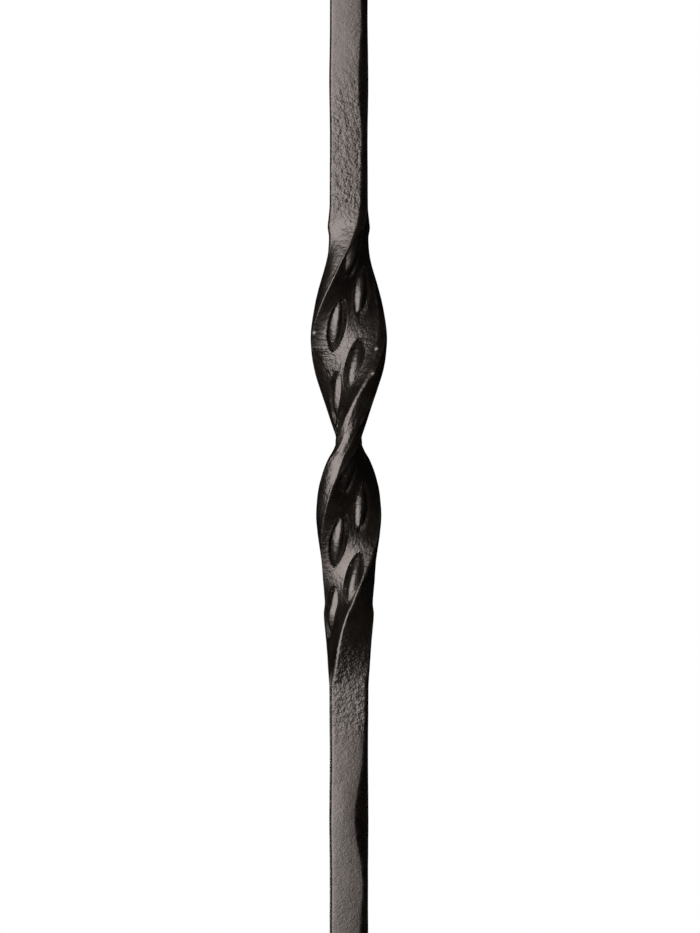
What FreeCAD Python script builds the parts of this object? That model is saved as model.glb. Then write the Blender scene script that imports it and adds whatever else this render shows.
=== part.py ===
# Forged iron stair baluster: a hammered square bar whose middle is flattened into a ribbon,
# twisted one full turn and punched with two staggered rows of seed shapes on each broad face.
# Millimetres, +Z up, origin at the centre of the bottom end.

import FreeCAD, Part
import math
import os

from FreeCAD import Vector

# The bar
LENGTH = 1118.0            # end to end
BAR = 14.0                 # across the flats
BAR_CROWN = 0.1            # how far the hammered front and back faces stand proud at their middle
HAMMER_PITCH = 23.5        # distance between hammer blows
HAMMER_STEP = 137.5        # degrees that the blow pattern moves on from one blow to the next
FACE_SWING = 0.15          # how far the blows move a face in or out
CRISP_CORNER = 0.8         # flat on the two corners that were hardly touched
LOWER_CORNER = 3.2         # mean flat on the two beaten corners of the lower bar, and its swing
LOWER_CORNER_SWING = 1.8
UPPER_CORNER = 2.7         # the same on the upper bar
UPPER_CORNER_SWING = 0.7

# The ribbon, measured from its waist
WAIST = 559.0              # height of the waist above the bottom end
RIBBON_ABOVE = 88.0        # where the bar ends above the waist
RIBBON_BELOW = 90.0        # where it starts again below
UPPER_WIDTH = 27.8         # broadest place above the waist
WAIST_WIDTH = 23.6
LOWER_WIDTH = 26.0         # broadest place below the waist
RIBBON_THICK = 9.4         # at the middle of the broad faces
EDGE_THICK = 5.8           # along the narrow edges
EDGE_CROWN = 0.9           # how far the narrow edges bulge
UPPER_FLAT = 15.0          # flat middle of the broad faces, above and below the waist
LOWER_FLAT = 17.0
SECTION_STEP = 8.0         # distance between the sections of the ribbon

# The seeds, each standing in a pocket that leaves a groove round it
SEED_PITCH = 26.2          # along one row
SEED_STAGGER = 14.0        # one row stands this much above the other
SEED_ROW = 0.165           # each row from the ribbon's middle line, as a share of its width there
SEED_LEAN = 0.03           # how far the rows drift across the ribbon for each millimetre of height
UPPER_LOBE = 43.0          # middle of each lobe's rows, above the waist
LOWER_LOBE = -42.0
FIRST_SEED = 3.2           # the seed next to the waist, above it
LOW_ROW = range(-2, 3)     # seeds of each row, counted from the waist
HIGH_ROW = range(-3, 3)
POCKET_LENGTH = 19.4
POCKET_WIDTH = 7.0
POCKET_DEPTH = 1.5
SEED_LENGTH = 11.4         # at the level of the face
SEED_WIDTH = 3.6
SEED_HEIGHT = 0.55

# Ribbon stations from the top down: share of the way from the waist to the bar (negative below),
# turn in degrees, width, thickness, edge thickness and flat middle
STATIONS = [
    (0.909, 9, 14.6, 13.8, 8.8, 10.4),
    (0.858, 19, 15.4, 11.2, 8.4, 11.2),
    (0.750, 38, 19.2, 9.6, 6.6, 12.4),
    (0.648, 57, 23.0, RIBBON_THICK, EDGE_THICK, 13.6),
    (0.523, 79, 26.6, RIBBON_THICK, EDGE_THICK, UPPER_FLAT),
    (0.409, 98, UPPER_WIDTH, RIBBON_THICK, EDGE_THICK, UPPER_FLAT),
    (0.307, 117, 26.8, RIBBON_THICK, EDGE_THICK, UPPER_FLAT),
    (0.193, 143, 24.2, RIBBON_THICK, EDGE_THICK, 14.0),
    (0.102, 161, WAIST_WIDTH, RIBBON_THICK, EDGE_THICK, 12.5),
    (0.023, 178, WAIST_WIDTH, RIBBON_THICK, EDGE_THICK, 11.5),
    (-0.067, 205, 25.6, RIBBON_THICK, EDGE_THICK, 13.5),
    (-0.167, 226, LOWER_WIDTH, RIBBON_THICK, EDGE_THICK, LOWER_FLAT),
    (-0.256, 239, 25.0, RIBBON_THICK, EDGE_THICK, LOWER_FLAT),
    (-0.344, 258, 23.6, RIBBON_THICK, EDGE_THICK, 16.0),
    (-0.444, 282, 21.2, RIBBON_THICK, 6.8, 14.5),
    (-0.544, 304, 19.0, 9.6, 7.8, 13.0),
    (-0.644, 322, 17.8, 10.6, 9.2, 12.4),
    (-0.694, 329, 17.6, 12.6, 11.0, 12.4),
    (-0.800, 342, 16.2, 13.4, 11.8, 12.4),
]


def axes(turn):
    """Directions of the ribbon's width and thickness after a turn in degrees."""
    a = math.radians(turn)
    return Vector(-math.sin(a), -math.cos(a), 0), Vector(math.cos(a), -math.sin(a), 0)


def curve_through(points, parameters):
    curve = Part.BSplineCurve()
    curve.interpolate(Points=points, Parameters=parameters)
    return curve


def section(z, turn, corners, crown):
    """Ten points round the bar at a height: eight corners, and one that draws out each narrow edge."""
    front, back = corners[0], corners[4]
    front_mid = (front[0] + 2 * crown, (front[1] + corners[1][1]) / 2)
    back_mid = (back[0] - 2 * crown, (back[1] + corners[5][1]) / 2)
    ring = [front, front_mid] + corners[1:5] + [back_mid] + corners[5:]
    across, out = axes(turn)
    return [across * u + out * v + Vector(0, 0, z) for u, v in ring]


def bar_section(z, blow, corner, swing):
    """Section of the hammered bar at one blow: two beaten corners, two crisp ones."""
    phase = math.radians(HAMMER_STEP * (blow - 2))
    u = BAR / 2 - BAR_CROWN + FACE_SWING * math.sin(phase)
    v = BAR / 2 + FACE_SWING * math.cos(phase)
    wide = corner + swing * math.cos(phase)
    fine = CRISP_CORNER
    corners = [(u, fine - v), (u, v - wide), (u - wide, v), (fine - u, v),
               (-u, v - fine), (-u, wide - v), (wide - u, -v), (u - fine, -v)]
    return section(z, 0, corners, BAR_CROWN)


# Guide curves of the ribbon, read at a height above the waist
rising = STATIONS[::-1]
heights = [s[0] * (RIBBON_ABOVE if s[0] > 0 else RIBBON_BELOW) for s in rising]
turn_and_size = curve_through([Vector(*s[1:4]) for s in rising], heights)
edge_and_flat = curve_through([Vector(s[4], s[5], h) for s, h in zip(rising, heights)], heights)


def ribbon_section(height):
    turn, width, thick = turn_and_size.value(height)
    edge, flat, _ = edge_and_flat.value(height)
    crown = min(EDGE_CROWN, BAR_CROWN + (width - STATIONS[0][2]) / 4)
    u, v, e, f = width / 2 - crown, thick / 2, edge / 2, flat / 2
    corners = [(u, -e), (u, e), (f, v), (-f, v), (-u, e), (-u, -e), (-f, -v), (f, -v)]
    return section(WAIST + height, turn, corners, crown)


# Sections from the bottom end to the top end
ribbon_foot = WAIST - RIBBON_BELOW
ribbon_head = WAIST + RIBBON_ABOVE
lower_blows = math.ceil(ribbon_foot / HAMMER_PITCH)
upper_blows = math.ceil((LENGTH - ribbon_head) / HAMMER_PITCH)
sections = []
for blow in range(lower_blows, -1, -1):
    z = ribbon_foot * (1 - blow / lower_blows)
    sections.append(bar_section(z, blow, LOWER_CORNER, LOWER_CORNER_SWING))
steps = math.ceil((heights[-1] - heights[0]) / SECTION_STEP)
for k in range(steps + 1):
    sections.append(ribbon_section(heights[0] + (heights[-1] - heights[0]) * k / steps))
for blow in range(upper_blows + 1):
    z = ribbon_head + (LENGTH - ribbon_head) * blow / upper_blows
    sections.append(bar_section(z, blow, UPPER_CORNER, UPPER_CORNER_SWING))

# Skin: one smooth rail through each point of the sections, and a strip between each pair of corners
levels = [s[0].z for s in sections]
rails = [curve_through([s[i] for s in sections], levels) for i in range(10)]


def strip(*sides):
    """Face between rails: flat across for two, a shallow arch for three."""
    across = len(sides)
    surface = Part.BSplineSurface()
    surface.buildFromPolesMultsKnots(
        [rail.getPoles() for rail in sides], [across, across], sides[0].getMultiplicities(),
        [0, 1], sides[0].getKnots(), False, False, across - 1, sides[0].Degree)
    return surface


strips = [strip(rails[0], rails[1], rails[2]), strip(rails[2], rails[3]), strip(rails[3], rails[4]),
          strip(rails[4], rails[5]), strip(rails[5], rails[6], rails[7]), strip(rails[7], rails[8]),
          strip(rails[8], rails[9]), strip(rails[9], rails[0])]
ends = [Part.Face(Part.Wire([s.vIso(level).toShape() for s in strips])) for level in (0, LENGTH)]
skin = Part.makeShell([s.toShape() for s in strips] + ends)
skin.sewShape()
bar = Part.makeSolid(skin)


def lemon(length, width, height):
    """Spindle along Z with the given length and width at a face that it stands a height out of."""
    radius = ((width / 2) ** 2 + height ** 2) / (2 * height)
    bend = ((length / 2) ** 2 + height ** 2) / (2 * height)
    tip = math.sqrt(bend ** 2 - (bend - radius) ** 2)
    arc = Part.Arc(Vector(0, 0, -tip), Vector(radius, 0, 0), Vector(0, 0, tip)).toShape()
    half = Part.Face(Part.Wire([arc, Part.makeLine(Vector(0, 0, tip), Vector(0, 0, -tip))]))
    return half.revolve(Vector(0, 0, 0), Vector(0, 0, 1), 360).toNurbs(), radius


def face_point(height, across, side):
    """Point on a broad face, and the face's outward direction there."""
    turn, width, thick = turn_and_size.value(height)
    u, v = axes(turn + side)
    return u * across + v * (thick / 2) + Vector(0, 0, WAIST + height), v


def seat(spindle, height, across, side, rise):
    """Copy of a spindle laid along its row, with its axis a rise above the broad face."""
    point, out = face_point(height, across, side)
    along = (face_point(height + 1, across, side)[0] - face_point(height - 1, across, side)[0]).normalize()
    square = (out - along * out.dot(along)).normalize()
    place = FreeCAD.Placement(point + square * rise, FreeCAD.Rotation(Vector(0, 0, 1), along))
    return spindle.transformed(place.toMatrix())


# Seeds and their pockets on both broad faces
pocket, pocket_radius = lemon(POCKET_LENGTH, POCKET_WIDTH, POCKET_DEPTH)
seed, seed_radius = lemon(SEED_LENGTH, SEED_WIDTH, SEED_HEIGHT)
places = [(FIRST_SEED + SEED_PITCH * k, -SEED_ROW) for k in LOW_ROW]
places += [(FIRST_SEED + SEED_STAGGER + SEED_PITCH * k, SEED_ROW) for k in HIGH_ROW]
pockets, seeds = [], []
for height, row in places:
    lobe = UPPER_LOBE if height > 0 else LOWER_LOBE
    across = row * turn_and_size.value(height).y + SEED_LEAN * (height - lobe)
    for side in (0, 180):
        pockets.append(seat(pocket, height, across, side, pocket_radius - POCKET_DEPTH))
        seeds.append(seat(seed, height, across, side, SEED_HEIGHT - seed_radius))
baluster = bar.cut(pockets).fuse(seeds).Solids[0]

os.makedirs("parts", exist_ok=True)
baluster.exportStep("parts/baluster.step")
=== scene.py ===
# %% [markdown]
# # A forged stair baluster
# A square iron bar is hammered on its corners. Its middle is flattened into a ribbon, punched with
# seed shapes and twisted a full turn, and the whole bar is painted a satin brown-black.
# This lesson makes it in the smith's own order: bar, ribbon, seeds, twist, hammer marks, paint.

# %% The measured part
import math

import bmesh
import bpy
import numpy as np
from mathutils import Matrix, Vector


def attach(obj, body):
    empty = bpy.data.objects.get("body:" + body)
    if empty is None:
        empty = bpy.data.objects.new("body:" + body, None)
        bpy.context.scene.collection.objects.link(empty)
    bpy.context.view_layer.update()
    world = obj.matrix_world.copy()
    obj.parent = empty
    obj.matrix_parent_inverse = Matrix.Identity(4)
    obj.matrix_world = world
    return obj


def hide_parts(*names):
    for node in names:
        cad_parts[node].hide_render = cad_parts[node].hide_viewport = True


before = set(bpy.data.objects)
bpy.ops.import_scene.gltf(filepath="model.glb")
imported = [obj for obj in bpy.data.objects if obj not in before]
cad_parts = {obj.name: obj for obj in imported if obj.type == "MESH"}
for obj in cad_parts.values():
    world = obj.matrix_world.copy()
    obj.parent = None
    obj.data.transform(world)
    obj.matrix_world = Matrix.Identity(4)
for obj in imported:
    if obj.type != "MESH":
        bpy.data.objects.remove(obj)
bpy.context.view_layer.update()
MM = 0.001

# %% [markdown]
# ## The camera
# The picture is taken from far away with a long lens, level with the ribbon, so upright edges stay
# upright and nothing looks bent. The lens is worked out from the height of bar that fills the frame.

# %% Camera
VIEW_CENTRE = Vector((0.44, 0, 550.8)) * MM
VIEW_HEIGHT = 341.8 * MM
CAMERA_AWAY = 2.0
SENSOR = 36.0
LEVEL = (math.pi / 2, 0, 0)

bpy.ops.object.select_all(action="DESELECT")
bpy.ops.object.camera_add(location=VIEW_CENTRE + Vector((0, -CAMERA_AWAY, 0)), rotation=LEVEL)
camera = bpy.context.object
camera.name = "camera"
camera.data.sensor_width = SENSOR
camera.data.lens = SENSOR * CAMERA_AWAY / VIEW_HEIGHT
bpy.context.scene.camera = camera
bpy.context.scene.view_settings.view_transform = "Standard"
print("lens, mm:", round(camera.data.lens, 1))

# %% [markdown]
# ## Sections of the bar
# Every slice through the bar has eight corners: two broad faces, two narrow faces and the four slanting
# flats between them. On the square bar two of those flats are the hammered corners. On the ribbon the
# corner that leads the twist is sharp, the one that trails it has a bevel, and at the waist both are
# wide chamfers. So one kind of section serves the whole length, and a short table of sections, read
# smoothly between its rows, is enough to describe the piece. All sizes are in millimetres here.

# %% Section values
LENGTH = 1118.0
BAR = 14.0
BAR_CROWN = 0.1
# Distance between hammer blows, degrees that their pattern moves on from one to the next, and the blow
# from the ribbon at which it starts
HAMMER_PITCH, HAMMER_STEP, HAMMER_START = 23.5, 137.5, 2
FACE_SWING = 0.15
CRISP_CORNER = 0.8
LOWER_CORNER, LOWER_CORNER_SWING = 3.2, 1.8
UPPER_CORNER, UPPER_CORNER_SWING = 2.7, 0.7
# The lower bar's corner where the ribbon starts
FOOT_CORNER = 1.2
# Reach, drop and swell of a plain face
PLAIN_FACE = (2.0, 0.0, 0.0)

# Height of the waist, and where the bar takes over above and below it
WAIST = 559.0
RIBBON_ABOVE, RIBBON_BELOW = 88.0, 90.0
LOWER_TURN, UPPER_TURN = 358, 0

# Ribbon rows from the bottom up: share of the way from the waist to the bar, turn in degrees, width,
# bulge of the narrow edges, thickness at the corners, swell of the broad faces between them, reach and
# drop of the slope along the leading edge, leading corner, width and depth of the trailing bevel
RIBBON_ROWS = [
    (-0.920, 350, 15.0, 0.1, 13.8, 0.0, 2.0, 0.3, 0.8, 0.8, 0.8),
    (-0.800, 340, 16.2, 0.3, 13.2, 0.0, 2.0, 0.3, 0.5, 0.6, 0.6),
    (-0.694, 327, 17.2, 0.4, 12.2, 0.2, 2.0, 0.2, 0.35, 0.5, 0.5),
    (-0.644, 319, 17.4, 0.5, 10.2, 0.3, 2.0, 0.2, 0.35, 0.5, 0.5),
    (-0.544, 298, 18.4, 0.5, 8.8, 0.5, 2.0, 0.0, 0.35, 0.6, 0.6),
    (-0.444, 276, 20.8, 0.5, 8.0, 0.7, 2.0, 0.0, 0.35, 0.7, 0.7),
    (-0.344, 255, 23.6, 0.5, 7.8, 0.8, 2.0, 0.0, 0.35, 0.8, 0.8),
    (-0.256, 238, 25.4, 0.5, 8.0, 0.7, 2.0, 0.0, 0.35, 1.0, 1.0),
    (-0.167, 224, 26.2, 0.5, 8.6, 0.4, 2.0, 0.0, 0.5, 1.6, 1.4),
    (-0.067, 201, 25.4, 0.4, 8.8, 0.1, 2.0, 0.1, 2.2, 1.6, 1.5),
    (-0.022, 188, 24.4, 0.3, 8.6, 0.0, 2.2, 0.2, 2.9, 2.0, 1.9),
    (0.023, 178, 24.0, 0.3, 8.8, 0.0, 2.5, 0.2, 3.0, 2.0, 2.0),
    (0.102, 164, 24.6, 0.25, 9.5, 0.1, 3.0, 0.3, 2.4, 1.3, 1.4),
    (0.193, 148, 25.2, 0.25, 8.8, 0.4, 4.0, 0.4, 0.7, 0.8, 0.8),
    (0.307, 124, 27.6, 0.3, 7.8, 1.1, 4.4, 0.9, 0.35, 1.2, 1.0),
    (0.409, 101, 28.2, 0.4, 7.4, 1.1, 4.4, 1.0, 0.35, 2.8, 1.3),
    (0.523, 79, 27.0, 0.5, 8.0, 0.4, 4.4, 0.3, 0.35, 2.8, 1.4),
    (0.648, 57, 24.0, 0.5, 8.6, 0.2, 4.0, 0.1, 0.35, 2.8, 1.6),
    (0.750, 38, 20.0, 0.5, 9.2, 0.4, 4.0, 0.8, 0.35, 2.2, 1.3),
    (0.858, 19, 15.8, 0.4, 11.2, 0.1, 3.0, 0.5, 1.2, 1.2, 1.1),
    (0.909, 9, 14.6, 0.1, 13.8, 0.0, 2.0, 0.2, 2.6, 0.9, 0.9),
]


def bar_row(z, turn, blow, corner, swing):
    """Row for the square bar at one hammer blow: two beaten corners and two crisp ones."""
    phase = math.radians(HAMMER_STEP * (blow - HAMMER_START))
    u = BAR / 2 - BAR_CROWN + FACE_SWING * math.sin(phase)
    v = BAR / 2 + FACE_SWING * math.cos(phase)
    wide = corner + swing * math.cos(phase)
    fine = CRISP_CORNER
    corners = [(u, fine - v), (u, v - wide), (u - wide, v), (fine - u, v),
               (-u, v - fine), (-u, wide - v), (wide - u, -v), (u - fine, -v)]
    return [z, turn, BAR_CROWN, *PLAIN_FACE, *np.ravel(corners)]


def ribbon_row(share, turn, width, bulge, thick, swell, reach, drop, fine, bevel, deep):
    """Row for the ribbon: a sharp leading corner and a bevelled trailing one on each broad face."""
    z = WAIST + share * (RIBBON_ABOVE if share > 0 else RIBBON_BELOW)
    u, v = width / 2 - bulge, thick / 2
    corners = [(u, deep - v), (u, v - drop - fine), (u - fine, v - drop), (bevel - u, v),
               (-u, v - deep), (-u, drop + fine - v), (fine - u, drop - v), (u - bevel, -v)]
    return [z, turn, bulge, reach, drop, swell, *np.ravel(corners)]


# %% Table of sections
ribbon_foot, ribbon_head = WAIST - RIBBON_BELOW, WAIST + RIBBON_ABOVE
lower_blows = math.ceil(ribbon_foot / HAMMER_PITCH)
upper_blows = math.ceil((LENGTH - ribbon_head) / HAMMER_PITCH)


def lower_bar_row(blow):
    z = ribbon_foot * (1 - blow / lower_blows)
    return bar_row(z, LOWER_TURN, blow, LOWER_CORNER, LOWER_CORNER_SWING)


def upper_bar_row(blow):
    z = ribbon_head + (LENGTH - ribbon_head) * blow / upper_blows
    return bar_row(z, UPPER_TURN, blow, UPPER_CORNER, UPPER_CORNER_SWING)


rows = [lower_bar_row(blow) for blow in range(lower_blows, 0, -1)]
rows += [bar_row(ribbon_foot, LOWER_TURN, 0, FOOT_CORNER, 0)]
rows += [ribbon_row(*row) for row in RIBBON_ROWS]
rows += [upper_bar_row(blow) for blow in range(upper_blows + 1)]
rows = np.array(rows)
print("sections in the table:", len(rows))

# %% [markdown]
# ## Between the sections
# Straight lines from row to row would leave kinks in the twist, and a plain smooth curve can swing past
# its rows. So each value follows a cubic whose slope at a row is an even mean of the slopes on its two
# sides, and nothing where they turn back.

# %% Reading the table smoothly


def read_rows(z):
    """Turn, crown, shape of the broad faces and the eight corners at each height, eased from row to row."""
    levels, values = rows[:, 0], rows[:, 1:]
    rise = np.diff(values, axis=0) / np.diff(levels)[:, None]
    before, after = rise[:-1], rise[1:]
    with np.errstate(divide="ignore", invalid="ignore"):
        even = np.where(before * after > 0, 2 * before * after / (before + after), 0)
    slopes = np.vstack([rise[:1], even, rise[-1:]])
    k = np.clip(np.searchsorted(levels, z) - 1, 0, len(levels) - 2)
    gap = (levels[k + 1] - levels[k])[:, None]
    t = (z - levels[k])[:, None] / gap
    a, b = values[k], values[k + 1]
    eased = ((1 + 2 * t) * (1 - t) ** 2 * a + t * (1 - t) ** 2 * gap * slopes[k]
             + t ** 2 * (3 - 2 * t) * b + t ** 2 * (t - 1) * gap * slopes[k + 1])
    return eased[:, 0], eased[:, 1], eased[:, 2:5], eased[:, 5:].reshape(-1, 8, 2)


print("turn at the waist, degrees:", round(float(read_rows(np.array([WAIST]))[0][0]), 1))

# %% [markdown]
# ## Blanks
# The bar could be one evenly divided tube, but the ribbon needs fine faces for the seeds and the plain
# bar doesn't. So three tubes are made, each from a circle that is extruded along the bar and then cut
# into rings with Subdivide, and they are joined once they have their shape.

# %% Three blanks
JOIN_GAP = 0.8
END_CHAMFER = 0.5
# Points round each softened corner
ROUND_POINTS = 5
# Each blank is extruded in a few spans, and each span is cut into rings
SPANS = 3
BAR_RINGS, RIBBON_RINGS = 66, 98


def ring_plan(narrow, bevel, broad):
    """Points inside each of the eight sides of a section, in order round the bar."""
    return [narrow, bevel, broad, bevel] * 2


BAR_PLAN = ring_plan(narrow=8, bevel=2, broad=8)
RIBBON_PLAN = ring_plan(narrow=12, bevel=3, broad=72)


def points_round(plan):
    return sum(plan) + 8 * ROUND_POINTS


def edge_heights(mesh):
    """Lower and higher end of every edge, in millimetres."""
    points = np.empty(len(mesh.vertices) * 3)
    mesh.vertices.foreach_get("co", points)
    ends = np.empty(len(mesh.edges) * 2, dtype=int)
    mesh.edges.foreach_get("vertices", ends)
    heights = points[2::3][ends].reshape(-1, 2) / MM
    return heights.min(axis=1), heights.max(axis=1)


def make_blank(name, plan, start, finish, rings, closed):
    """Tube from one height to another, with a chamfered, closed end where the bar ends."""
    bpy.ops.object.select_all(action="DESELECT")
    bpy.ops.mesh.primitive_circle_add(vertices=points_round(plan), radius=BAR / 2 * MM,
                                      location=(0, 0, start * MM))
    blank = bpy.context.object
    blank.name = name
    bpy.ops.object.transform_apply(location=True)
    bpy.ops.object.mode_set(mode="EDIT")
    bpy.ops.mesh.select_all(action="SELECT")
    for span in range(SPANS):
        bpy.ops.mesh.extrude_region_move(
            TRANSFORM_OT_translate={"value": (0, 0, (finish - start) / SPANS * MM)})
    if closed:
        chamfer = math.copysign(END_CHAMFER, finish - start)
        bpy.ops.mesh.extrude_region_move(TRANSFORM_OT_translate={"value": (0, 0, chamfer * MM)})
        bpy.ops.mesh.edge_face_add()
    bpy.ops.mesh.select_mode(type="EDGE")
    bpy.ops.mesh.select_all(action="DESELECT")
    bpy.ops.object.mode_set(mode="OBJECT")
    low, high = edge_heights(blank.data)
    blank.data.edges.foreach_set("select", high - low > 2 * END_CHAMFER)
    bpy.ops.object.mode_set(mode="EDIT")
    bpy.ops.mesh.subdivide(number_cuts=rings - 1)
    bpy.ops.object.mode_set(mode="OBJECT")
    print(name, "has", len(blank.data.vertices), "points")
    return blank


LOWER_BAR_ENDS = (ribbon_foot - JOIN_GAP, END_CHAMFER)
UPPER_BAR_ENDS = (ribbon_head + JOIN_GAP, LENGTH - END_CHAMFER)
lower_bar = make_blank("lower_bar", BAR_PLAN, *LOWER_BAR_ENDS, BAR_RINGS, closed=True)
ribbon = make_blank("ribbon", RIBBON_PLAN, ribbon_foot, ribbon_head, RIBBON_RINGS, closed=False)
upper_bar = make_blank("upper_bar", BAR_PLAN, *UPPER_BAR_ENDS, BAR_RINGS, closed=True)

# %% [markdown]
# ## Drawing the sections
# Each point of a blank keeps its height and its place in the ring, and moves to the eight-cornered
# section there. Corners are softened as the hammer and the paint soften them. The ribbon is drawn flat
# first, without its turn. Its broad faces swell, and slope a little towards the leading edge.

# %% Section drawing
# Softness of the corners, and the largest share of a side that it takes at each end
CORNER_SOFTNESS, SOFT_SHARE = 0.45, 0.42
# Places of the narrow and the broad faces among each four sides
NARROW, BROAD = 0, 2


def arch(t):
    """Shallow arch from nothing at both ends to one in the middle."""
    return 4 * t * (1 - t)


def broad_rise(t, form, side):
    """How far a broad face stands above the straight line from its leading to its trailing corner."""
    reach, drop, swell = form.T
    return drop * (np.minimum(t * side / reach, 1) - t) + swell * arch(t)


def ring_points(plan, z):
    """Points round the flat section at each height: an array of heights by points by two."""
    _, crown, form, corners = read_rows(z)
    along = np.roll(corners, -1, axis=1) - corners
    side = np.linalg.norm(along, axis=2, keepdims=True)
    soft = np.minimum(CORNER_SOFTNESS, SOFT_SHARE * side)
    out = []
    for i in range(8):
        before = corners[:, i] - along[:, i - 1] / side[:, i - 1] * soft[:, i - 1]
        after = corners[:, i] + along[:, i] / side[:, i] * soft[:, i]
        for t in np.linspace(0, 1, ROUND_POINTS):
            out.append((1 - t) ** 2 * before + 2 * t * (1 - t) * corners[:, i] + t ** 2 * after)
        end = corners[:, (i + 1) % 8] - along[:, i] / side[:, i] * soft[:, i]
        outward = np.stack([along[:, i, 1], -along[:, i, 0]], axis=1) / side[:, i]
        for t in np.linspace(0, 1, plan[i] + 2)[1:-1]:
            point = after + (end - after) * t
            if i % 4 == NARROW:
                point = point + outward * crown[:, None] * arch(t)
            if i % 4 == BROAD:
                point = point + outward * broad_rise(t, form, side[:, i, 0])[:, None]
            out.append(point)
    return np.stack(out, axis=1)


print("points round the bar and the ribbon:", points_round(BAR_PLAN), points_round(RIBBON_PLAN))

# %% Moving the points


def place_in_blank(blank, plan):
    """Height, ring number and place in the ring of every point of a blank."""
    points = np.empty(len(blank.data.vertices) * 3)
    blank.data.vertices.foreach_get("co", points)
    points = points.reshape(-1, 3) / MM
    count = points_round(plan)
    angle = np.arctan2(points[:, 1], points[:, 0])
    column = np.round(angle / (2 * math.pi / count)).astype(int) % count
    levels, ring = np.unique(np.round(points[:, 2], 3), return_inverse=True)
    return levels, ring, column


def set_points(blank, points):
    blank.data.vertices.foreach_set("co", (points * MM).ravel())
    blank.data.update()


def set_values(blank, name, values):
    """Store one value for each point under a name that the paint can read."""
    layer = blank.data.attributes.new(name, "FLOAT", "POINT")
    layer.data.foreach_set("value", values.astype(np.float32))


def turned(flat, turn):
    """Flat section points turned about the bar's middle line."""
    sin, cos = np.sin(np.radians(turn)), np.cos(np.radians(turn))
    across, out = flat[..., 0], flat[..., 1]
    return np.stack([out * cos - across * sin, -across * cos - out * sin], axis=-1)


# %% [markdown]
# ## Seeds
# The smith punches the seeds into the hot, flat ribbon: a curved chisel leaves an almond-shaped pocket
# with the seed standing in it. Cutting the pockets with a Boolean would leave knife-sharp, broken rims,
# where the real ones are soft, so the points of the ribbon are pressed in and out instead. The pocket is
# an almond with steep walls, the seed has two flanks and a rounded ridge, and a soft maximum joins them.
# Where the chisel leant over, the far wall rises gently. The points next to a pocket's outline first move
# onto it, so that the rim is a clean line, and the iron pushed aside stands up round it as a low lip.

# %% Seed values
SEED_PITCH = 26.2
SEED_STAGGER = 14.0
SEED_ROW = 0.165
SEED_LEAN = 0.03
UPPER_LOBE, LOWER_LOBE = 43.0, -42.0
FIRST_SEED = 3.2
# How steep the walls are, and how far across the seed the far wall reaches
STEEP, LEANING, SHALLOW = 9.0, 0.7, 0.3
WALL_CHANGE = 0.8
# Seeds of each row, counted from the waist: how far the chisel strayed, and how steep the far wall is
LOW_ROW = {-2: (-1.6, STEEP), -1: (0, SHALLOW), 0: (0, STEEP), 1: (0, STEEP), 2: (0, SHALLOW)}
HIGH_ROW = {-3: (0.8, STEEP), -2: (0, STEEP), -1: (0, LEANING), 0: (-1.8, STEEP), 1: (0, STEEP),
            2: (0, LEANING)}
SEED_SHIFT = 0.4
POCKET_LENGTH, POCKET_WIDTH, POCKET_DEPTH = 19.0, 7.0, 1.6
POCKET_ROUNDNESS = 0.56
WALL_SOFTNESS = 0.02
SEED_LENGTH, SEED_HEIGHT, SEED_FALL = 18.8, 0.6, 2.1
FLANK_SLOPE, RIDGE_ROUNDING = 1.35, 2.4
GROOVE_SOFTNESS = 0.1
LIP_AWAY, LIP_WIDTH, LIP_HEIGHT = 0.3, 0.4, 0.03
# How far outside its outline a pocket is still worked out
POCKET_REACH = 1
print("seeds on each broad face:", len(LOW_ROW) + len(HIGH_ROW))

# %% One seed


def seed_form(s, h):
    """Height above the face of a seed: two flanks that meet in a rounded ridge, falling to both tips."""
    ridge = SEED_HEIGHT - SEED_FALL * (2 * h / SEED_LENGTH) ** 2
    return ridge - FLANK_SLOPE * (np.hypot(s, RIDGE_ROUNDING) - RIDGE_ROUNDING)


def half_width(h):
    """Half the width of a pocket's almond outline at a distance along it from its middle."""
    share = 2 * np.abs(h) / POCKET_LENGTH
    return POCKET_WIDTH / 2 * np.maximum(1 - share ** 2, 0) ** POCKET_ROUNDNESS


def rim_distance(s, h):
    """How far a place is outside the outline of a pocket, negative inside."""
    return np.abs(s) - half_width(h) + np.maximum(np.abs(h) - POCKET_LENGTH / 2, 0)


def soft_max(a, b, softness):
    """The larger of two heights, with a rounded hollow where they meet."""
    return (a + b + np.sqrt((a - b) ** 2 + softness ** 2)) / 2


print("height of a seed in its middle, mm:", round(float(seed_form(0, 0)), 2))

# %% All the seeds


def seed_places():
    """Height above the waist and place across the ribbon of each seed, and how steep its far wall is."""
    places = [(FIRST_SEED + SEED_PITCH * k, -SEED_ROW, *punch) for k, punch in LOW_ROW.items()]
    first_high = FIRST_SEED + SEED_STAGGER
    places += [(first_high + SEED_PITCH * k, SEED_ROW, *punch) for k, punch in HIGH_ROW.items()]
    for height, share, stray, far_wall in places:
        corners = read_rows(np.array([WAIST + height]))[3][0]
        width = 2 * corners[0, 0]
        lobe = UPPER_LOBE if height > 0 else LOWER_LOBE
        yield height, share * width + SEED_LEAN * (height - lobe) + SEED_SHIFT + stray, far_wall


def draw_rims(across, along, spacing):
    """Move the points nearest to a pocket's outline onto it, so that its rim is one clean line of edges."""
    for height, middle, _ in seed_places():
        s, h = across - middle, along - height
        near = (np.abs(np.abs(s) - half_width(h)) < spacing / 2) & (np.abs(h) < POCKET_LENGTH / 2)
        across = np.where(near, middle + np.sign(s) * half_width(h), across)
    return across


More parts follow.
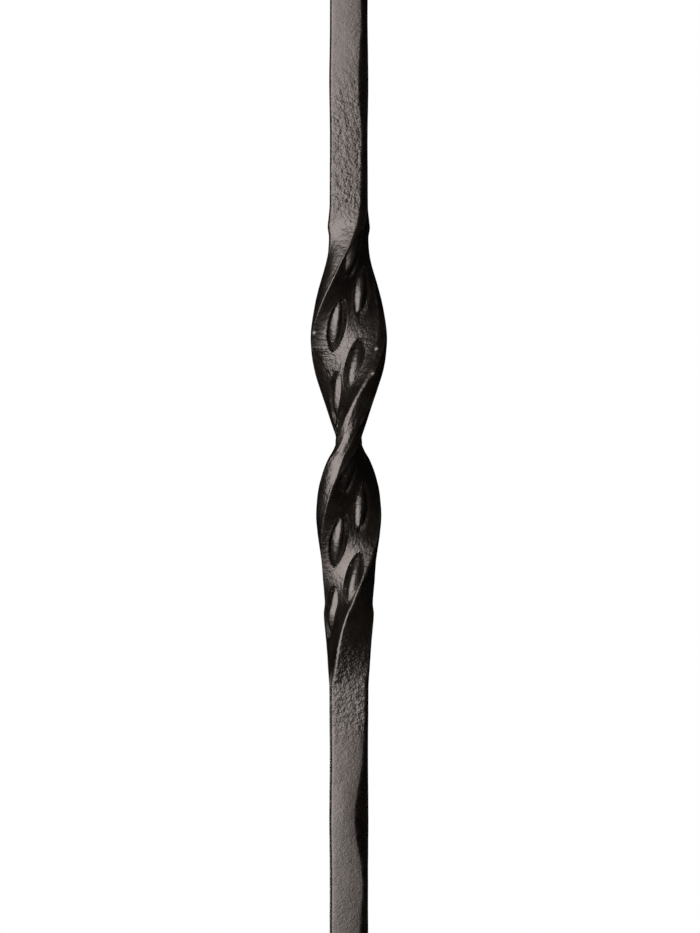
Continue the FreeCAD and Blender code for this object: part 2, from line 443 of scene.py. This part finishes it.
def press_seeds(across, along):
    """How far the pockets and seeds move a broad face in or out, and where the pockets' rims are."""
    press, rim = np.zeros_like(across), np.zeros_like(across)
    for height, middle, far_wall in seed_places():
        s, h = across - middle, along - height
        from_rim = rim_distance(s, h)
        slope = np.where(s < WALL_CHANGE, far_wall, STEEP)
        pocket = np.maximum(-soft_max(-slope * from_rim, 0, WALL_SOFTNESS), -POCKET_DEPTH)
        pressed = soft_max(pocket, seed_form(s, h), GROOVE_SOFTNESS)
        press += np.where(from_rim < POCKET_REACH, pressed, 0)
        rim = np.maximum(rim, slope / STEEP * np.exp(-((from_rim - LIP_AWAY) / LIP_WIDTH) ** 2))
    return press + LIP_HEIGHT * rim, rim


seed_heights = [WAIST + height for height, _, _ in seed_places()]
print("seeds from", round(min(seed_heights), 1), "to", round(max(seed_heights), 1), "mm above the bottom")

# %% [markdown]
# ## Shaping
# Now the three blanks take their form. The rings of the two bars are also moved closer together towards
# the ribbon, where the hammer marks are finest. Each point keeps four values for the paint: how much its
# edge is rubbed, how coarse its grain is, which is most where the smith worked the shoulders hot, where
# the paint is chipped, and where the iron was folded into laps.

# %% Values for the paint
# How far the rubbing reaches from an edge
EDGE_WEAR = 0.5
# Height, reach and strength of each zone of coarse skin
COARSE_ZONES = [(664.0, 28.0, 1.0), (470.0, 17.0, 1.0), (560.0, 75.0, 0.5)]
# Place across and up the front of the bar, half width and half height of a patch
COARSE_PATCH = (-4.5, 589.0, 5.0, 7.0)
LAPS = (-11.0, 588.0, 4.0, 7.0)
CHIPS = [(-12.7, 599.7), (10.0, 593.8), (8.7, 584.6)]
CHIP_SIZE = 0.4


def bounded(x, z, across, up, wide, tall):
    """One inside a soft-edged patch, falling to nothing outside it."""
    return np.exp(-((x - across) / wide) ** 4 - ((z - up) / tall) ** 4)


def keep_paint_values(blank, points, wear):
    """Store the four values that the paint reads at each point."""
    x, y, z = points.T
    front = y < 0
    coarse = sum(share * np.exp(-((z - middle) / reach) ** 4) for middle, reach, share in COARSE_ZONES)
    coarse += bounded(x, z, *COARSE_PATCH) * front
    chips = sum(np.exp(-((x - a) ** 2 + (z - b) ** 2) / CHIP_SIZE ** 2) for a, b in CHIPS)
    set_values(blank, "wear", wear)
    set_values(blank, "coarse", np.minimum(coarse, 1))
    set_values(blank, "chips", chips * front)
    set_values(blank, "laps", bounded(x, z, *LAPS) * front)


print("zones of coarse skin:", len(COARSE_ZONES) + 1, "and chips:", len(CHIPS))

# %% Shaping the blanks
# How much the rings of the bars crowd towards the ribbon
CROWDING = 0.5


def crowd(levels, near, far):
    """Heights between two ends moved closer together towards the near one."""
    t = (levels - near) / (far - near)
    moved = near + (far - near) * ((1 - CROWDING) * t + CROWDING * t ** 2)
    return np.where((t >= 0) & (t <= 1), moved, levels)


def punch_ribbon(flat, levels, corners, wear):
    """Press the seeds into both broad faces of the flat ribbon, and give back the wear with their rims."""
    along = np.repeat((levels - WAIST)[:, None], flat.shape[1], axis=1)
    leading, trailing = corners[:, 2, 0][:, None], corners[:, 3, 0][:, None]
    spacing = (leading - trailing) / (RIBBON_PLAN[BROAD] + 1)
    for side in (1, -1):
        across = flat[..., 0] * side
        on_face = (across > trailing) & (across < leading) & (flat[..., 1] * side > 0)
        across = np.where(on_face, draw_rims(across, along, spacing), across)
        press, rim = press_seeds(across, along)
        flat[..., 0] = across * side
        flat[..., 1] += np.where(on_face, press * side, 0)
        wear = np.where(on_face, np.maximum(wear, rim), wear)
    return wear


def shape_blank(blank, plan, bar_ends=None):
    """Draw the sections of a bar between its ends, or of the ribbon with its seeds where none are given."""
    levels, ring, column = place_in_blank(blank, plan)
    if bar_ends:
        levels = crowd(levels, *bar_ends)
    flat = ring_points(plan, levels)
    turn, _, _, corners = read_rows(levels)
    gaps = np.linalg.norm(flat[:, :, None] - corners[:, None], axis=3).min(axis=2)
    wear = np.exp(-(gaps / EDGE_WEAR) ** 2)
    ends = (levels < END_CHAMFER / 2) | (levels > LENGTH - END_CHAMFER / 2)
    flat[ends] *= 1 - 2 * END_CHAMFER / BAR
    if not bar_ends:
        wear = punch_ribbon(flat, levels, corners, wear)
    xy = turned(flat, turn[:, None])
    points = np.column_stack([xy[ring, column], levels[ring]])
    set_points(blank, points)
    keep_paint_values(blank, points, wear[ring, column])
    print(blank.name, "is", np.round(np.ptp(points, axis=0), 1), "mm")


shape_blank(lower_bar, BAR_PLAN, LOWER_BAR_ENDS)
shape_blank(ribbon, RIBBON_PLAN)
shape_blank(upper_bar, BAR_PLAN, UPPER_BAR_ENDS)

# %% [markdown]
# ## One bar
# The three tubes become one mesh. A bar ring has fewer points than a ribbon ring, and Bridge Edge Loops
# would crowd the new faces together, so the two small gaps are zipped by hand: a triangle at a time,
# always stepping along the ring that has come less far round.

# %% Joining
bpy.ops.object.select_all(action="DESELECT")
for blank in (lower_bar, upper_bar, ribbon):
    blank.select_set(True)
bpy.context.view_layer.objects.active = ribbon
bpy.ops.object.join()
baluster = bpy.context.object
baluster.name = "forged_baluster"
print("points of the joined tubes:", len(baluster.data.vertices))

# %% Zipping the gaps
SAME_HEIGHT = 0.01


def ring_at(points, z):
    """Numbers of the points of the ring at a height, in order round the bar, and how far round each is."""
    ring = np.flatnonzero(np.abs(points[:, 2] - z) < SAME_HEIGHT)
    ring = ring[np.argsort(np.arctan2(points[ring, 1], points[ring, 0]))]
    steps = np.linalg.norm(points[np.roll(ring, -1)] - points[ring], axis=1)
    return ring, np.concatenate([[0], np.cumsum(steps)]) / steps.sum()


def zip_rings(points, low, high):
    """Triangles that close the gap between two rings, stepping along whichever is behind."""
    (a, way_a), (b, way_b) = ring_at(points, low), ring_at(points, high)
    i = j = 0
    while i < len(a) or j < len(b):
        here = [a[i % len(a)], b[j % len(b)]]
        if j == len(b) or (i < len(a) and way_a[i + 1] < way_b[j + 1]):
            i += 1
            step = a[i % len(a)]
        else:
            j += 1
            step = b[j % len(b)]
        yield *here, step


points = np.empty(len(baluster.data.vertices) * 3)
baluster.data.vertices.foreach_get("co", points)
points = points.reshape(-1, 3) / MM
triangles = [*zip_rings(points, ribbon_foot - JOIN_GAP, ribbon_foot)]
triangles += [*zip_rings(points, ribbon_head, ribbon_head + JOIN_GAP)]
mesh = bmesh.new()
mesh.from_mesh(baluster.data)
mesh.verts.ensure_lookup_table()
for triangle in triangles:
    mesh.faces.new([mesh.verts[int(n)] for n in triangle])
mesh.to_mesh(baluster.data)
mesh.free()
print("triangles in the two gaps:", len(triangles))

# %% Turning the faces outwards
bpy.ops.object.mode_set(mode="EDIT")
bpy.ops.mesh.select_all(action="SELECT")
bpy.ops.mesh.normals_make_consistent(inside=False)
bpy.ops.object.mode_set(mode="OBJECT")
edge_of_loop = np.empty(len(baluster.data.loops), dtype=int)
baluster.data.loops.foreach_get("edge_index", edge_of_loop)
faces_at_edge = np.bincount(edge_of_loop, minlength=len(baluster.data.edges))
open_edges = np.sum(faces_at_edge != 2)
print("one bar of", len(baluster.data.polygons), "faces; edges without two faces:", open_edges)

# %% [markdown]
# ## Hammer marks
# Forged iron is never flat. Three Displace modifiers with soft clouds move the skin: wide shallow dents
# from the hammer, small lumps everywhere, and a coarser leathery skin on the shoulders. Their
# strengths are about a tenth of a millimetre or less, just enough to bend the light.

# %% Hammer marks
DENT_SIZE, DENT_DEPTH = 8.0, 0.12
LUMP_SIZE, LUMP_DEPTH = 2.4, 0.03
LEATHER_SIZE, LEATHER_DEPTH = 1.8, 0.05
CLOUD_LAYERS = 2
WEIGHT_STEPS = 10

coarse = np.empty(len(baluster.data.vertices), dtype=np.float32)
baluster.data.attributes["coarse"].data.foreach_get("value", coarse)
shoulders = baluster.vertex_groups.new(name="shoulders")
for step in range(1, WEIGHT_STEPS + 1):
    members = np.flatnonzero(np.round(coarse * WEIGHT_STEPS) == step)
    shoulders.add(members.tolist(), step / WEIGHT_STEPS, "REPLACE")


def hammer(name, size, depth, group=""):
    """Move the skin by soft clouds of a size, everywhere or by the weights of a group."""
    clouds = bpy.data.textures.new(name, "CLOUDS")
    clouds.noise_scale = size * MM
    clouds.noise_depth = CLOUD_LAYERS
    marks = baluster.modifiers.new(name, "DISPLACE")
    marks.texture = clouds
    marks.texture_coords = "LOCAL"
    marks.strength = depth * MM
    marks.vertex_group = group
    bpy.ops.object.modifier_apply(modifier=name)


bpy.ops.object.select_all(action="DESELECT")
baluster.select_set(True)
bpy.context.view_layer.objects.active = baluster
hammer("dents", DENT_SIZE, DENT_DEPTH)
hammer("lumps", LUMP_SIZE, LUMP_DEPTH)
hammer("leathery_skin", LEATHER_SIZE, LEATHER_DEPTH, "shoulders")
print("hammered", len(coarse), "points")

# %% [markdown]
# ## Shading
# Smooth shading hides the facets of the mesh, but it would also blur the walls of the pockets. Shade
# Smooth by Angle keeps every edge sharp that turns more than a set angle.

# %% Shading
SHARP_TURN = 38
bpy.ops.object.shade_smooth_by_angle(angle=math.radians(SHARP_TURN))
print("edges stay sharp from", SHARP_TURN, "degrees")

# %% [markdown]
# ## Paint
# A satin brown-black paint over forged iron. It is nearly black, so all that shows of it is how it
# mirrors the lamp: a fine orange-peel grain bends the mirror picture, the gloss changes from
# patch to patch, and edges and rims are rubbed paler.

# %% Paint
PAINT = (0.0042, 0.0030, 0.0022, 1)
DUSTY = (0.0085, 0.0062, 0.0048, 1)
RUBBED = (0.03, 0.023, 0.019, 1)
CHIPPED = (0.55, 0.50, 0.45, 1)
SHEEN = (1, 0.88, 0.83, 1)
GLOSS = 0.95

paint = bpy.data.materials.new("satin_iron_paint")
paint.use_nodes = True
nodes, links = paint.node_tree.nodes, paint.node_tree.links
shader = nodes["Principled BSDF"]
shader.inputs["Specular IOR Level"].default_value = GLOSS
shader.inputs["Specular Tint"].default_value = SHEEN
where = nodes.new("ShaderNodeTexCoord").outputs["Object"]
print("paint:", paint.name)

# %% Paint helpers


def noise(scale, detail, roughness, stretch=(1, 1, 1)):
    """Cloudy values with lumps of about one over the scale in metres."""
    squeeze = nodes.new("ShaderNodeMapping")
    squeeze.inputs["Scale"].default_value = stretch
    links.new(where, squeeze.inputs["Vector"])
    node = nodes.new("ShaderNodeTexNoise")
    node.inputs["Scale"].default_value = scale
    node.inputs["Detail"].default_value = detail
    node.inputs["Roughness"].default_value = roughness
    links.new(squeeze.outputs[0], node.inputs["Vector"])
    return node.outputs["Fac"]


def spread(value, low, high, to_low, to_high):
    """Value between two limits stretched to two others."""
    node = nodes.new("ShaderNodeMapRange")
    for name, limit in zip(("From Min", "From Max", "To Min", "To Max"), (low, high, to_low, to_high)):
        node.inputs[name].default_value = limit
    links.new(value, node.inputs["Value"])
    return node.outputs[0]


def combine(operation, a, b):
    """Result of a sum, product or the like of two values, each a number or an output."""
    node = nodes.new("ShaderNodeMath")
    node.operation = operation
    for socket, value in zip(node.inputs, (a, b)):
        if isinstance(value, float):
            socket.default_value = value
        else:
            links.new(value, socket)
    return node.outputs[0]


def kept_value(name):
    """Value that the points of the bar keep under a name."""
    node = nodes.new("ShaderNodeAttribute")
    node.attribute_name = name
    return node.outputs["Fac"]


def tint(share, a, b):
    """Colour between two, each a colour or an output, by a share from 0 to 1."""
    node = nodes.new("ShaderNodeMix")
    node.data_type = "RGBA"
    links.new(share, node.inputs["Factor"])
    for socket, colour in ((node.inputs[6], a), (node.inputs[7], b)):
        if isinstance(colour, tuple):
            socket.default_value = colour
        else:
            links.new(colour, socket)
    return node.outputs[2]


# %% [markdown]
# The rubbed edges are broken up by a noise, so that they look touched here and missed there. Another
# noise makes patches of dust, and the gloss follows the same patches.

# %% Paint colour and gloss
SATIN = (0.29, 0.36)
PATCH_RANGE = (0.3, 0.7)
DUST_RANGE = (0.42, 0.7)
RUB_RANGE = (0.42, 0.62)

patches = noise(scale=150, detail=3, roughness=0.6)
breaks = noise(scale=310, detail=4, roughness=0.65)
rubbed = combine("MULTIPLY", kept_value("wear"), spread(breaks, *RUB_RANGE, 0.0, 1.0))
dusty = tint(spread(patches, *DUST_RANGE, 0.0, 1.0), PAINT, DUSTY)
links.new(tint(kept_value("chips"), tint(rubbed, dusty, RUBBED), CHIPPED), shader.inputs["Base Color"])
links.new(spread(patches, *PATCH_RANGE, *SATIN), shader.inputs["Roughness"])
print("roughness from", SATIN[0], "to", SATIN[1])

# %% [markdown]
# The grain is a sum of two noises, and it is stronger where the point's own coarse value is high. The
# laps are a third noise, drawn out sideways into folds.

# %% Paint grain
GRAIN_STRENGTH = (0.1, 0.75)
FINE_STRENGTH = 0.08
LAP_STRENGTH = (0.0, 0.6)
FOLD_STRETCH = (0.06, 0.06, 1)
GRAIN_HEIGHT = 0.6

fine_grain = noise(scale=1500, detail=2, roughness=0.5)
peel = noise(scale=650, detail=3, roughness=0.55)
folds = noise(scale=900, detail=1, roughness=0.5, stretch=FOLD_STRETCH)
leather = combine("MULTIPLY", peel, spread(kept_value("coarse"), 0, 1, *GRAIN_STRENGTH))
grain = combine("ADD", leather, combine("MULTIPLY", fine_grain, FINE_STRENGTH))
laps = combine("MULTIPLY", folds, spread(kept_value("laps"), 0, 1, *LAP_STRENGTH))
bump = nodes.new("ShaderNodeBump")
bump.inputs["Distance"].default_value = GRAIN_HEIGHT * MM
links.new(combine("ADD", grain, laps), bump.inputs["Height"])
links.new(bump.outputs[0], shader.inputs["Normal"])
baluster.data.materials.clear()
baluster.data.materials.append(paint)
print("paint nodes:", len(nodes))

# %% [markdown]
# ## Surround
# The surround is white to look at, and gives only a little light, so that the lamps shape the bar.

# %% World
AMBIENT, WHITE = 0.12, 1.0


def seen_directly(nodes, links):
    """One where the camera, a mirror or glass looks at a thing, and nothing where it only gives light."""
    path = nodes.new("ShaderNodeLightPath")
    seen = path.outputs["Is Camera Ray"]
    for way in ("Is Glossy Ray", "Is Transmission Ray"):
        either = nodes.new("ShaderNodeMath")
        either.operation = "MAXIMUM"
        links.new(seen, either.inputs[0])
        links.new(path.outputs[way], either.inputs[1])
        seen = either.outputs[0]
    return seen


world = bpy.data.worlds.new("white_surround")
bpy.context.scene.world = world
world.use_nodes = True
nodes, links = world.node_tree.nodes, world.node_tree.links
ambient = nodes["Background"]
ambient.inputs["Color"].default_value = (1, 1, 1, 1)
level = nodes.new("ShaderNodeMapRange")
level.inputs["To Min"].default_value = AMBIENT
level.inputs["To Max"].default_value = WHITE
links.new(seen_directly(nodes, links), level.inputs["Value"])
links.new(level.outputs[0], ambient.inputs["Strength"])
print("light of the surround:", AMBIENT)

# %% [markdown]
# ## Cards
# Dark glossy paint shows all that stands round it. Black cards on the sides away from the lamp keep the
# rest of the mirror picture dark, as for any shiny thing. Only mirror rays meet them.

# %% Cards
CARD_BLACK = (0.01, 0.01, 0.01, 1)
CARD_FAR = 3.0
SIDE_CARD_TALL, SIDE_CARD_MIDDLE = 3.0, 0.7
FLAT_CARD, FLAT_CARD_MIDDLE = (2.8, 4.3), 0.85


def add_card(name, place, size, turn=(0, 0, 0)):
    """Black card that only mirror rays meet."""
    bpy.ops.object.select_all(action="DESELECT")
    bpy.ops.mesh.primitive_plane_add(size=1, location=place, rotation=turn)
    card = bpy.context.object
    card.name = name
    card.scale = (*size, 1)
    bpy.ops.object.transform_apply(location=True, rotation=True, scale=True)
    black = bpy.data.materials.new(name)
    black.use_nodes = True
    dull = black.node_tree.nodes["Principled BSDF"]
    dull.inputs["Base Color"].default_value = CARD_BLACK
    dull.inputs["Specular IOR Level"].default_value = 0
    card.data.materials.append(black)
    card.visible_camera = False
    card.visible_diffuse = False
    card.visible_shadow = False
    card.visible_transmission = False
    print(name, "is", size, "m")


def add_side_card(name, x, near):
    place = (x, (near + CARD_FAR) / 2, SIDE_CARD_MIDDLE)
    add_card(name, place, (SIDE_CARD_TALL, CARD_FAR - near), (0, math.pi / 2, 0))


def add_flat_card(name, z):
    add_card(name, (0, FLAT_CARD_MIDDLE, z), FLAT_CARD)


add_side_card("right_card", x=0.1, near=-1.9)
add_side_card("left_card", x=-0.6, near=-0.26)
add_flat_card("low_card", z=0.002)
add_flat_card("high_card", z=1.13)

# %% [markdown]
# ## Lamps
# One large soft box at the front left lights the bar. Its edges draw the edges of the bright faces. A
# weaker box behind the bar lights the side away from the camera.

# %% Lamps


def add_lamp(name, azimuth, away, height, wide, tall, bright):
    """Soft box that looks at the bar from an azimuth to the left of the camera."""
    a = math.radians(azimuth)
    place = Vector((-math.sin(a) * away, -math.cos(a) * away, height))
    bpy.ops.object.light_add(type="AREA", location=place, rotation=(math.pi / 2, 0, -a))
    lamp = bpy.context.object
    lamp.name = name
    lamp.data.shape = "RECTANGLE"
    lamp.data.size = wide
    lamp.data.size_y = tall
    lamp.data.energy = bright * math.pi * wide * tall
    lamp.visible_camera = False
    print(name, "uses", round(lamp.data.energy, 1), "W")


add_lamp("soft_box", azimuth=31.9, away=0.9, height=0.63, wide=1.22, tall=0.9, bright=3.9)
add_lamp("back_box", azimuth=180, away=2.4, height=0.6, wide=0.5, tall=1.1, bright=3.0)

# %% [markdown]
# ## Floor
# The bar stands on a pale floor that takes its shadow and fades into the white surround.

# %% Floor
FLOOR_PALE = (0.8, 0.8, 0.8, 1)
FLOOR_RADIUS, FLOOR_POINTS = 2.2, 64
FADE_START, FADE_END = 0.1, 0.75

bpy.ops.object.select_all(action="DESELECT")
bpy.ops.mesh.primitive_circle_add(vertices=FLOOR_POINTS, radius=FLOOR_RADIUS, fill_type="NGON",
                                  location=(0, 0, 0))
floor = bpy.context.object
floor.name = "floor"
pale = bpy.data.materials.new("pale_floor")
pale.use_nodes = True
nodes, links = pale.node_tree.nodes, pale.node_tree.links
matt = nodes["Principled BSDF"]
matt.inputs["Base Color"].default_value = FLOOR_PALE
white = nodes.new("ShaderNodeEmission")
place = nodes.new("ShaderNodeTexCoord")
away = nodes.new("ShaderNodeVectorMath")
away.operation = "LENGTH"
links.new(place.outputs["Object"], away.inputs[0])
fade = nodes.new("ShaderNodeMapRange")
fade.interpolation_type = "SMOOTHSTEP"
fade.inputs["From Min"].default_value = FADE_START
fade.inputs["From Max"].default_value = FADE_END
links.new(away.outputs["Value"], fade.inputs["Value"])
shown = nodes.new("ShaderNodeMath")
shown.operation = "MULTIPLY"
links.new(fade.outputs[0], shown.inputs[0])
links.new(seen_directly(nodes, links), shown.inputs[1])
blend = nodes.new("ShaderNodeMixShader")
links.new(shown.outputs[0], blend.inputs[0])
links.new(matt.outputs[0], blend.inputs[1])
links.new(white.outputs[0], blend.inputs[2])
links.new(blend.outputs[0], nodes["Material Output"].inputs["Surface"])
floor.data.materials.append(pale)
print("floor fades to white from", FADE_START, "to", FADE_END, "m")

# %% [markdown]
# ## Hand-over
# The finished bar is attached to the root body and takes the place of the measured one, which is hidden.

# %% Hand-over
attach(baluster, "root")
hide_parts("baluster")
